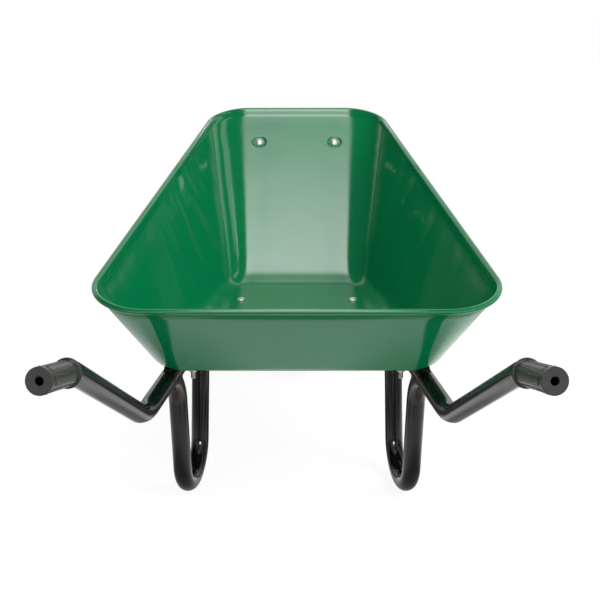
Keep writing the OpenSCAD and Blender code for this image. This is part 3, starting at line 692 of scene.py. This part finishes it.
panels = [math.tau * i / 6 for i in range(6)]
panel_from, panel_to, dash_step, dashes_long = 0.0245, 0.1005, 0.0038, 21
for side, name in both_sides:
    sleeve = make_object("sleeve", make_mesh("sleeve", *lathe(grip_profile, 96, closed=True)))
    ribs = round_sleeve("ribs", rounded_bar(0.078, 0.0012, 0.0007, 0.0005),
                        [(a + d, (panel_from + panel_to) / 2) for a in panels for d in (-0.36, 0.36)])
    dashes = round_sleeve("dashes", rounded_bar(0.0026, 0.0009, 0.00055, 0.0004, sides=4),
                          [(a + d, panel_from + dash_step * k) for a in panels for d in (-0.20, 0.20)
                           for k in range(dashes_long)])
    bars = round_sleeve("bars", rounded_bar(0.0115, 0.0012, 0.0008, 0.0012),
                        [(a, h) for a in panels for h in (panel_from, panel_to)], tip=math.pi / 2)
    grip = join(name + "_handle_grip", [sleeve, ribs, dashes, bars])
    start = in_tube_plane(side, 0, 0)
    z_way = in_tube_plane(side, *grip_way) - start
    x_way = in_tube_plane(side, 0, 0, 1) - start
    turned = Matrix((x_way, z_way.cross(x_way), z_way)).transposed().to_4x4()
    grip.data.transform(Matrix.Translation(in_tube_plane(side, *high_knee)) @ turned)
    finish_piece(grip, grip_rubber, "grip", "barrow", name + "_grip", crease=50)

# ---------------------------------------------------------------- Crossbars, stays and axle plates
# Flat steel, welded to the frame tubes: two bars across under the floor, two bent stays up to the front
# wall, and two plates that hang down to the axle. Sheared edges with a small break, black enamel.


def softened(node, name, width):
    """A copy of a flat steel part with its edges broken."""
    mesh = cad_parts[node].data.copy()
    work = bmesh.new()
    work.from_mesh(mesh)
    bmesh.ops.remove_doubles(work, verts=work.verts, dist=1e-6)
    bmesh.ops.dissolve_limit(work, angle_limit=math.radians(1.5), verts=work.verts, edges=work.edges)
    work.to_mesh(mesh)
    work.free()
    obj = make_object(name, mesh)
    soft = obj.modifiers.new("break", "BEVEL")
    soft.width, soft.segments, soft.limit_method, soft.angle_limit = width, 2, "ANGLE", math.radians(40)
    return settle(obj)


for node, name in (("rear_crossbar", "rear_bar"), ("front_crossbar", "front_bar"), ("left_tray_stay", "left_stay"),
                   ("right_tray_stay", "right_stay"), ("left_axle_plate", "left_plate"),
                   ("right_axle_plate", "right_plate")):
    finish_piece(softened(node, name, 0.0005), frame_paint, "frame_paint", "barrow", node, crease=30)

# ---------------------------------------------------------------- Tube plugs
# A moulded plastic plug is pushed into the front end of each frame tube. Its disc covers the cut end.

plug_plastic, *_ = surface("plug_plastic", (0.02, 0.02, 0.02), (0.028, 0.027, 0.025), gloss=(0.48, 0.15),
                           patch=(60.0, 0.6), grain=(1800.0, 0.00003))
plug_profile = [(0, 2.6), (6.0, 2.75), (12.6, 2.9), (14.6, 2.85), (15.5, 2.5), (15.95, 1.8), (16.0, 0.9), (16.0, 0.05),
                (15.0, 0.0), (13.95, 0.0), (13.9, -1.0), (13.97, -2.0), (13.6, -4.0), (13.97, -6.0), (13.6, -8.0),
                (13.97, -10.0), (13.2, -13.4), (12.0, -14.0), (0, -14.0)]
for side, name in both_sides:
    plug = make_object(name + "_plug", make_mesh(name + "_plug", *lathe(plug_profile, 72)))
    plug.data.transform(along_tube(side, rail_end))
    finish_piece(plug, plug_plastic, "plug", "barrow", name + "_tube_plug")

# ---------------------------------------------------------------- Tray fasteners
# Six M8 dome bolts through the floor and the front wall, each with a round washer and a hexagon nut below.
# Bright zinc plate with faint frosting and a fine grain.

zinc_plate, *_ = surface("zinc_plate", (0.82, 0.82, 0.80), (0.60, 0.60, 0.57), gloss=(0.45, 0.22), patch=(90.0, 0.7),
                         grain=(1600.0, 0.00003), Metallic=1.0)


def thread(radius, top, bottom, pitch=1.25, depth=0.55):
    """Profile of a threaded shank from top down to its chamfered end, in millimetres."""
    line, z = [], top
    while z - pitch > bottom + 0.8:
        root = z - pitch / 2
        line += [(radius, z - 0.1), (radius, z - 0.28), (radius - depth, root - 0.1), (radius - depth, root - 0.2)]
        z -= pitch
    return line + [(radius, z), (radius, bottom + 0.7), (radius - 0.7, bottom), (0, bottom)]


def dome_bolt(length):
    dome_r, dome_h, edge = 8.85, 2.9, 1.5
    head = [(0, edge + dome_h)]
    for i in range(1, 11):
        r = dome_r * math.sin(math.pi / 2 * i / 10)
        head.append((r, edge + dome_h * (1 - (r / dome_r) ** 3.5) ** 0.75))
    head += [(8.95, 1.35), (9.0, 1.1), (9.0, 0.2), (8.8, 0.0), (4.0, 0.0), (4.0, -1.0)]
    return make_mesh("dome_bolt", *lathe(head + thread(4.0, -1.2, -length), 32))


def hexagon(across_flats, height, hole):
    """A hexagon nut with its corners turned off at both faces, or a solid bolt head when hole is nought."""
    sides, flat = 48, across_flats / 2
    turned = flat * 0.96
    loops = []
    for z, lift in ((0, 1), (height, -1)):
        edge = []
        for i in range(sides):
            reach = flat / math.cos((math.tau * i / sides + math.pi / 6) % (math.pi / 3) - math.pi / 6)
            edge.append((reach - 0.03, z + lift * (reach - turned) * 0.55))
        face = [[(r, z)] * sides for r in (hole, hole + 0.5 if hole else 0, turned)] + [edge]
        loops += face[::lift]
    verts = [Vector((*on_circle(r / 1000, i, sides), h / 1000)) for loop in loops for i, (r, h) in enumerate(loop)]
    # a nut's last loop joins its first through the hole
    return make_mesh("nut", verts, bands(len(loops), sides, ring=hole > 0))


def washer(outer, inner, thick, edge=0.18):
    section = [(inner, edge), (inner + edge, 0), (outer - edge, 0), (outer, edge), (outer, thick - edge),
               (outer - edge, thick), (inner + edge, thick), (inner, thick - edge)]
    return make_mesh("washer", *lathe(section, 40, closed=True))


def moved(places, lift):
    """The same places, lifted along each one's own axis, in millimetres."""
    return [(p + m @ Vector((0, 0, lift / 1000)), m) for p, m in places]


def fasten(name, mesh, places, body, node, material=zinc_plate, slot="zinc"):
    finish_piece(set_out(name, mesh, places, material), material, slot, body, node, crease=32)


floor_places = [(Vector((s * b.x, b.y, b.z)), Matrix.Identity(3)) for b in (rear_bolt, floor_bolt) for s in (-1, 1)]
panel_places = [(Vector((s * panel_bolt.x, panel_bolt.y, panel_bolt.z)), Matrix.Rotation(panel_lean, 3, "X"))
                for s in (-1, 1)]
# in millimetres, from the sheet down to the nut; a stay lies under its seat with a hair of play
sheet_t, seat_depth, play, bar_t, stay_t, washer_t, nut_h = 1.2, 2.0, 0.02, 3.0, 4.0, 1.6, 6.5


def below(depth):
    return moved(floor_places, -bar_t - depth) + moved(panel_places, -seat_depth - play - stay_t - depth)


fasten("floor_bolts", dome_bolt(25), moved(floor_places, sheet_t), "barrow", "tray_bolts")
fasten("panel_bolts", dome_bolt(20), moved(panel_places, sheet_t - seat_depth), "barrow", "tray_bolts")
fasten("bolt_washers", washer(8.5, 4.2, washer_t), below(washer_t), "barrow", "tray_washers")
fasten("bolt_nuts", hexagon(13, nut_h, 3.6), below(washer_t + nut_h), "barrow", "tray_nuts")

# ---------------------------------------------------------------- Axle
# A turned steel bar held between the two plates, with threaded ends, a spacer tube on each side of the
# wheel, and a washer and nut outside each plate.

axle_low, axle_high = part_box("axle")
axle_mid = (axle_low + axle_high) / 2
plate_in, plate_thick = 0.08535, 0.005
turned_steel, *_ = surface("turned_steel", (0.52, 0.52, 0.52), (0.36, 0.35, 0.33), gloss=(0.36, 0.22),
                           patch=(45.0, 0.8), grain=(1400.0, 0.00004), Metallic=1.0)


def on_axle(name, profile, sides=64, closed=False):
    """Spins (radius, x) millimetre points about the axle."""
    verts, faces = lathe(profile, sides, closed)
    turn = Matrix.Translation(axle_mid) @ Matrix.Rotation(math.pi / 2, 4, "Y")
    return make_object(name, make_mesh(name, [turn @ v for v in verts], faces))


def other_side(line):
    return [(r, -x) for r, x in line[::-1]]


half, end = 1000 * plate_in, 1000 * (axle_high.x - axle_mid.x)
thread_r, thread_depth, thread_step = 6.0, 0.65, 0.75
bar = [(0, 0), (7.98, 0), (7.98, half - 0.8), (7.2, half), (thread_r, half), (thread_r, half + 5.5),
       (thread_r, half + 6.0)]
bar += [(thread_r - thread_depth * (i % 2), half + 6.2 + thread_step * i) for i in range(21)]
bar = [(r, x) for r, x in bar if x <= end + 1e-6] + [(thread_r, end - 0.9), (5.1, end), (0, end)]
finish_piece(on_axle("axle_bar", other_side(bar) + bar), turned_steel, "axle_steel", "barrow", "axle")

spacer_in = 47.0
spacer = [(8.05, spacer_in + 0.2), (8.35, spacer_in), (11.6, spacer_in), (12.0, spacer_in + 0.4), (12.0, half - 0.4),
          (11.6, half), (8.35, half), (8.05, half - 0.3)]
spacers = [on_axle("part", [(r, s * x) for r, x in spacer], closed=True) for s in (-1, 1)]
finish_piece(join("spacer_tubes", spacers), turned_steel, "axle_steel", "barrow", "axle_spacers")

end_washer_t = 2.5
ends = [(axle_mid + Vector((s * (plate_in + plate_thick), 0, 0)), Matrix.Rotation(s * math.pi / 2, 3, "Y"))
        for s in (-1, 1)]
fasten("end_washers", washer(12, 6.1, end_washer_t), ends, "barrow", "axle_washers")
fasten("end_nuts", hexagon(19, 10, 5.5), moved(ends, end_washer_t), "barrow", "axle_nuts")

# ---------------------------------------------------------------- Tyre
# A rubber pneumatic tyre, moulded in one: smooth sidewalls with thin raised rings, a round shoulder, a
# running rib round the middle and rows of blocks beside it. Matt black, clouded in patches with a lighter, browner
# black.

tyre_low, tyre_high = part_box("tyre")
tyre_r = 1000 * (tyre_high.z - tyre_low.z) / 2
tw = 1000 * (tyre_high.x - tyre_low.x) / 2  # half of the tyre's width
seat_r = 101.6  # where its beads sit on the rim


def eased(points, rounds):
    """Cuts a section's corners, so that it turns smoothly and stays inside the drawn one."""
    for _ in range(rounds):
        cut = [points[0]]
        for (ar, ax), (br, bx) in zip(points, points[1:]):
            cut += [(ar * (1 - u) + br * u, ax * (1 - u) + bx * u) for u in (0.25, 0.75)]
        points = cut + [points[-1]]
    return points


def wall_r(share):
    return seat_r + share * (tyre_r - seat_r)


def with_rings(line, rings):
    """Raises thin rings on a sidewall at the radii named."""
    made = []
    for (ar, ax), (br, bx) in zip(line, line[1:]):
        steps = [(ar, 0.0)]
        for r in rings:
            steps += [(r + d, h) for d, h in ((-0.9, 0.0), (-0.5, 0.5), (0.4, 0.5), (0.8, 0.0)) if ar < r + d < br]
        slope = (bx - ax) / (br - ar) if br > ar else 0.0
        made += [(r, ax + slope * (r - ar) + h) for r, h in steps]
    return made + [line[-1]]


side_wall = [(seat_r + 0.7, tw - 20), (seat_r + 0.7, tw - 9.6), (seat_r + 11, tw - 3), (seat_r + 15.4, tw - 1.2),
             (wall_r(0.35), tw - 0.25), (wall_r(0.5), tw - 0.2), (wall_r(0.64), tw - 0.9), (wall_r(0.8), tw - 5),
             (tyre_r - 11.5, tw - 12), (tyre_r - 6.5, tw - 21), (tyre_r - 5.2, 14), (tyre_r - 4.6, 11.5),
             (tyre_r - 4.5, 6.3)]
rib = [(tyre_r - 4.5, 6.0), (tyre_r - 4.2, 5.75), (tyre_r - 0.6, 5.1), (tyre_r - 0.15, 4.7), (tyre_r - 0.05, 4.0)]
inside = [(tyre_r - 10.5, 0), (tyre_r - 11, tw - 25), (tyre_r - 16, tw - 14), (wall_r(0.66), tw - 8),
          (wall_r(0.38), tw - 7), (seat_r + 16.4, tw - 9), (seat_r + 6.4, tw - 14)]
outside = with_rings(eased(side_wall, 2), (seat_r + 13.0, wall_r(0.60), wall_r(0.72))) + rib
carcass = on_axle("carcass", outside + other_side(outside) + other_side(inside[1:]) + inside, 180, closed=True)


def tread_block(reach, width, inner, outer, skew):
    """One block of the shoulder, in the tyre's own axes: X across, Z outwards, Y round the tread."""
    line = [(inner, -1.2), ((inner + outer) * 0.45, -1.9), ((inner + outer) * 0.68, -3.6), (outer - 3, -6.6),
            (outer, -9.6)]
    section = [(width / 2 + 0.5, -5.5), (width / 2, -0.4), (width / 2 - 0.5, 0)]
    section = [(-y, z) for y, z in section] + section[::-1]
    verts = [Vector((x, y + skew * (x - inner), reach + drop + z)) / 1000 for x, drop in line for y, z in section]
    return make_mesh("block", verts, bands(5, 6) + [range(6), range(24, 30)])


block_count = 44
block_width = math.tau * tyre_r / block_count * 0.60
casing = [carcass]
for s in (-1, 1):
    block = tread_block(tyre_r, block_width, 10.4, tw - 7.5, 0.22)
    if s < 0:
        block.transform(Matrix.Rotation(math.pi, 4, "Z"))
    # the two rows are half a step apart
    turns = [math.tau * (i - s * 0.25) / block_count for i in range(block_count)]
    casing.append(set_out("blocks", block, [(axle_mid, Matrix.Rotation(t, 3, "X")) for t in turns], None))
tyre_rubber, *_ = surface("tyre_rubber", (0.020, 0.020, 0.020), (0.034, 0.032, 0.029), gloss=(0.62, 0.2),
                          patch=(16.0, 0.8), grain=(900.0, 0.00005), wave=(50.0, 0.0001))
finish_piece(join("tyre_casing", casing), tyre_rubber, "tyre", "wheel", "tyre", crease=40)

tube_rubber, *_ = surface("tube_rubber", (0.03, 0.03, 0.03), (0.05, 0.048, 0.045), gloss=(0.5, 0.2),
                          patch=(22.0, 0.8), grain=(700.0, 0.00005))
inner_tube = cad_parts["inner_tube"]
inner_tube.data.materials.clear()
inner_tube.data.materials.append(tube_rubber)

# ---------------------------------------------------------------- Rim and hub
# Two pressed steel dishes, bolted back to back round a hub tube, painted light grey. Plastic bushes with a
# flange are pushed into the hub's ends and run on the axle.

hub_r, rim_t = 16.0, 2.5
rim_paint, *_ = surface(
    "rim_paint", (0.52, 0.52, 0.50), (0.45, 0.45, 0.425), gloss=(0.3, 0.12), patch=(14.0, 0.5),
    grain=(600.0, 0.00002), wave=(30.0, 0.0002), Coat_Weight=0.5, Coat_Roughness=0.15)
air_side = [(hub_r + 0.02, 0), (seat_r - 39.6, 0), (seat_r - 17.6, tw - 29), (seat_r - 3.6, tw - 23),
            (seat_r, tw - 9), (seat_r + 10.2, tw - 2.6)]


def offset_line(line, amount):
    """The same line moved sideways, towards its left."""
    made = []
    for i, (r, x) in enumerate(line):
        (ar, ax), (br, bx) = line[max(i - 1, 0)], line[min(i + 1, len(line) - 1)]
        d = Vector((br - ar, bx - ax)).normalized()
        made.append((r - d.y * amount, x + d.x * amount))
    return made


air = eased(air_side, 3)
face = offset_line(air, rim_t - 0.05)
face[0] = (air[0][0], rim_t - 0.05)
for s, name in both_sides:
    dish = on_axle(name + "_dish", [(r, s * x) for r, x in air + face[::-1]], 128, closed=True)
    finish_piece(dish, rim_paint, "rim_paint", "wheel", name + "_rim_half", crease=45)

hub_half = tw - 1
hub_line = [(13.0, hub_half - 0.4), (13.4, hub_half), (15.6, hub_half), (hub_r, hub_half - 0.4)]
hub_tube = on_axle("hub_tube", hub_line + other_side(hub_line), closed=True)
finish_piece(hub_tube, rim_paint, "rim_paint", "wheel", "hub")

bush_plastic, *_ = surface("bush_plastic", (0.62, 0.60, 0.53), (0.50, 0.47, 0.40), gloss=(0.4, 0.15),
                           patch=(70.0, 0.6), grain=(1500.0, 0.00002))
bush_line = [(8.05, hub_half - 20), (12.6, hub_half - 20), (12.98, hub_half - 19.4), (12.98, hub_half),
             (15.6, hub_half), (16.0, hub_half + 0.4), (16.0, hub_half + 2.0), (15.5, hub_half + 2.5),
             (8.5, hub_half + 2.5), (8.05, hub_half + 2.1)]
for s, name in both_sides:
    bush = on_axle(name + "_hub_bush", [(r, s * x) for r, x in bush_line], closed=True)
    finish_piece(bush, bush_plastic, "bush", "wheel", name + "_bush")

# ---------------------------------------------------------------- Rim bolts and valve
# Four M8 hexagon bolts and nuts clamp the two dishes. The valve is a rubber-covered stem through the
# right-hand dish with a screwed plastic cap.

bolt_circle = Vector((0, 0, 0.045))
rim_spots = [(axle_mid + Matrix.Rotation(math.radians(45 + 90 * i), 3, "X") @ bolt_circle,
              Matrix.Rotation(math.pi / 2, 3, "Y")) for i in range(4)]
head = make_object("head", hexagon(13, 5.3, 0))
shank = make_object("shank", make_mesh("shank", *lathe([(0, 0.5), (3.95, 0.5), *thread(4.0, -0.5, -16)], 32)))
bolt = join("bolt", [head, shank])
bolt_mesh = bolt.data
bolt_mesh.transform(Matrix.Rotation(math.pi, 4, "X"))
bpy.data.objects.remove(bolt)
fasten("rim_bolt_set", bolt_mesh, moved(rim_spots, -rim_t), "wheel", "rim_bolts")
fasten("rim_nut_set", hexagon(13, nut_h, 3.6), moved(rim_spots, rim_t), "wheel", "rim_nuts")

valve_turn = Matrix.Rotation(math.radians(55), 3, "X")
valve_place = (axle_mid + valve_turn @ Vector(((tw - 26.5) / 1000, 0, (seat_r - 10.6) / 1000)),
               valve_turn @ Matrix.Rotation(math.radians(113), 3, "Y"))
stem_line = [(0, -1.2), (4.3, -1.2), (4.5, -0.9), (4.5, 2.2), (4.2, 2.6), (3.9, 3.0), (3.85, 9.0), (3.8, 15.6),
             (3.5, 16.0), (2.6, 16.0), *[(2.6 - 0.25 * (i % 2), 16.3 + 0.4 * i) for i in range(13)], (2.3, 21.8),
             (0, 22.0)]
fasten("valve_tube", make_mesh("valve_tube", *lathe(stem_line, 32)), [valve_place], "wheel", "valve_stem",
       material=tube_rubber, slot="inner_tube")
cap_line = [(2.66, 16.1), (3.8, 16.1), (4.0, 16.4), (4.0, 24.3), (3.6, 25.0), (0, 25.05), (0, 22.3), (2.66, 22.25)]
fasten("valve_cap_screw", make_mesh("valve_cap_screw", *lathe(cap_line, 32)), [valve_place], "wheel", "valve_cap",
       material=plug_plastic, slot="plug")

# ---------------------------------------------------------------- Studio
# A plain white floor that keeps a faint shadow. In reflections alone it shows painted light round the barrow and to
# the right, and painted shadow under the barrow, round the feet of its legs and between the handles; a surround
# darkens upwards in reflections. Soft panels overhead and at the right, one low panel for the legs alone, a small lamp
# beyond the tray and a soft key from the right.


def flat_sheet(name, x, y):
    return make_mesh(name, [(-x, -y, 0), (x, -y, 0), (x, y, 0), (-x, y, 0)], [(0, 1, 2, 3)])


def mix_shader(tree, share, first, second):
    node = add(tree, "ShaderNodeMixShader")
    for socket, value in zip(node.inputs, (share, first, second)):
        tree.links.new(value, socket)
    return node.outputs[0]


def glowing(tree, kind, strength):
    """A white emission or background of the given strength."""
    return add(tree, kind, Color=(1, 1, 1, 1), Strength=strength).outputs[0]


ground = make_object("ground", flat_sheet("ground", 30, 30))
floor_white, tree, shader = new_material("floor_white", Base_Color=(0.88, 0.88, 0.88, 1), Roughness=1.0,
                                         Specular_IOR_Level=0.0)
ground.data.materials.append(floor_white)
spot = object_place(tree)
axes = split(tree, spot)
# painted light in what the floor shows to reflections: brightest round the barrow and towards the right, dimmer
# further out
painted_floor_light = product(tree, ramp(tree, vector_node(tree, "LENGTH", spot), 0.34, 0.80, 1.2, 0.40),
               ramp(tree, axes["X"], 0.28, 0.50, 1.0, 1.5))
# painted shadow in what the floor shows to reflections: darker round the feet of the legs, between the handles and
# under the front of the tray
footing = add(tree, "ShaderNodeCombineXYZ", X=math_node(tree, "ABSOLUTE", axes["X"]), Y=axes["Y"]).outputs[0]
for centre, start, stop, level in (((0.24, -0.14, 0), 0.08, 0.21, 0.35), ((0.05, -0.52, 0), 0.10, 0.18, 0.35),
                                   ((0.05, 0.36, 0), 0.24, 0.38, 0.10)):
    painted_floor_light = product(tree, painted_floor_light, ramp(tree, vector_node(tree, "DISTANCE", footing, centre), start, stop, level, 1.0))
shown = add(tree, "ShaderNodeAddShader")
tree.links.new(glowing(tree, "ShaderNodeEmission", 0.91), shown.inputs[0])
tree.links.new(add(tree, "ShaderNodeBsdfDiffuse", Color=(0.22, 0.22, 0.22, 1)).outputs[0], shown.inputs[1])
ray = add(tree, "ShaderNodeLightPath").outputs
lit = mix_shader(tree, ray["Is Camera Ray"], shader.outputs[0], shown.outputs[0])
mirrored = mix_shader(tree, ray["Is Glossy Ray"], lit, glowing(tree, "ShaderNodeEmission", painted_floor_light))
tree.links.new(mirrored, tree.nodes["Material Output"].inputs["Surface"])

world = bpy.data.worlds.new("surround")
bpy.context.scene.world = world
world.use_nodes = True
tree = world.node_tree
ambient = tree.nodes["Background"]
ambient.inputs["Color"].default_value = (1, 1, 1, 1)
ambient.inputs["Strength"].default_value = 0.38
way = split(tree, add(tree, "ShaderNodeTexCoord").outputs["Generated"])
glow = ramp(tree, way["Z"], 0.02, 0.12, 1.0, 0.03)
# brighter beyond the tray, to the right and behind the viewer, each between two heights
for axis, start, stop, level, bottom, top in (("Y", 0.30, 0.62, 1.05, -0.2, 0.58), ("X", 0.50, 0.64, 1.1, 0.20, 0.50),
                                              ("Y", -0.45, -0.8, 1.1, -0.2, 0.60)):
    height = product(tree, ramp(tree, way["Z"], bottom, bottom + 0.12, 0.0, 1.0),
                     ramp(tree, way["Z"], top, top + 0.18, 1.0, 0.0))
    glow = math_node(tree, "MAXIMUM", glow, product(tree, ramp(tree, way[axis], start, stop, 0.0, level), height))
ray = add(tree, "ShaderNodeLightPath").outputs
mirrored = mix_shader(tree, ray["Is Glossy Ray"], ambient.outputs[0], glowing(tree, "ShaderNodeBackground", glow))
seen = mix_shader(tree, ray["Is Camera Ray"], mirrored, glowing(tree, "ShaderNodeBackground", 1.0))
tree.links.new(seen, tree.nodes["World Output"].inputs["Surface"])


def soft_panel(name, at, width, length, near, far, fade, sheen_only=True, tilt=0.0):
    """A glowing cloth panel, of strength near at its near end and far at its far end, soft at its long sides."""
    side, end = width / 2, length / 2
    obj = make_object(name, flat_sheet(name, side, end))
    obj.location = at
    obj.rotation_euler.x = math.radians(tilt)
    obj.visible_camera = False
    obj.visible_diffuse = not sheen_only
    material, tree, _ = new_material(name)
    axes = split(tree, object_place(tree))
    strength = product(tree, ramp(tree, math_node(tree, "ABSOLUTE", axes["X"]), side - fade, side, 1.0, 0.0),
                       ramp(tree, axes["Y"], -end, end, near, far))
    tree.links.new(glowing(tree, "ShaderNodeEmission", strength), tree.nodes["Material Output"].inputs["Surface"])
    obj.data.materials.append(material)
    return obj


soft_panel("overhead", (0.0, 0.30, 2.5), 0.68, 1.16, 7.6, 1.4, 0.22, sheen_only=False)
soft_panel("overhead_far", (0.0, 1.58, 2.5), 0.68, 1.4, 1.4, 1.6, 0.22)
soft_panel("overhead_near", (0.008, -1.5, 2.5), 0.9, 2.44, 5.2, 3.6, 0.14)
soft_panel("right_wing", (1.24, 0.98, 2.5), 0.66, 0.90, 1.35, 1.25, 0.12)
soft_panel("right_edge", (1.10, 0.49, 2.5), 0.20, 0.44, 3.6, 2.4, 0.06)
glint = soft_panel("front_glint", (0, -1.3, 0.235), 0.56, 0.23, 36, 36, 0.12, tilt=90)
lit_legs = bpy.data.collections.new("lit_legs")
for _, name in both_sides:
    lit_legs.objects.link(bpy.data.objects[name + "_leg_tube"])
glint.light_linking.receiver_collection = lit_legs


def soft_box(name, at, toward, width, height, watts, mirrored=True):
    lamp = bpy.data.lights.new(name, "AREA")
    lamp.shape, lamp.size, lamp.size_y, lamp.energy = "RECTANGLE", width, height, watts
    obj = make_object(name, lamp)
    obj.location = at
    obj.rotation_euler = (Vector(toward) - Vector(at)).to_track_quat("-Z", "Y").to_euler()
    obj.visible_glossy = mirrored


soft_box("key", (2.1, -1.5, 2.4), (0, 0.1, 0.4), 2.0, 2.0, 62, mirrored=False)
soft_box("far_strip", (-0.02, 2.0, 1.55), (-0.02, -0.2, 0.4), 0.20, 0.08, 0.62)

camera = make_object("camera", bpy.data.cameras.new("camera"))
bpy.context.scene.camera = camera
camera.data.lens, camera.data.sensor_width, camera.data.shift_x = 75, 36, 0.005
camera.location = (0, -2.0844, 1.104)
camera.rotation_euler = (math.radians(70), 0, 0)
bpy.context.scene.view_settings.view_transform = "Standard"
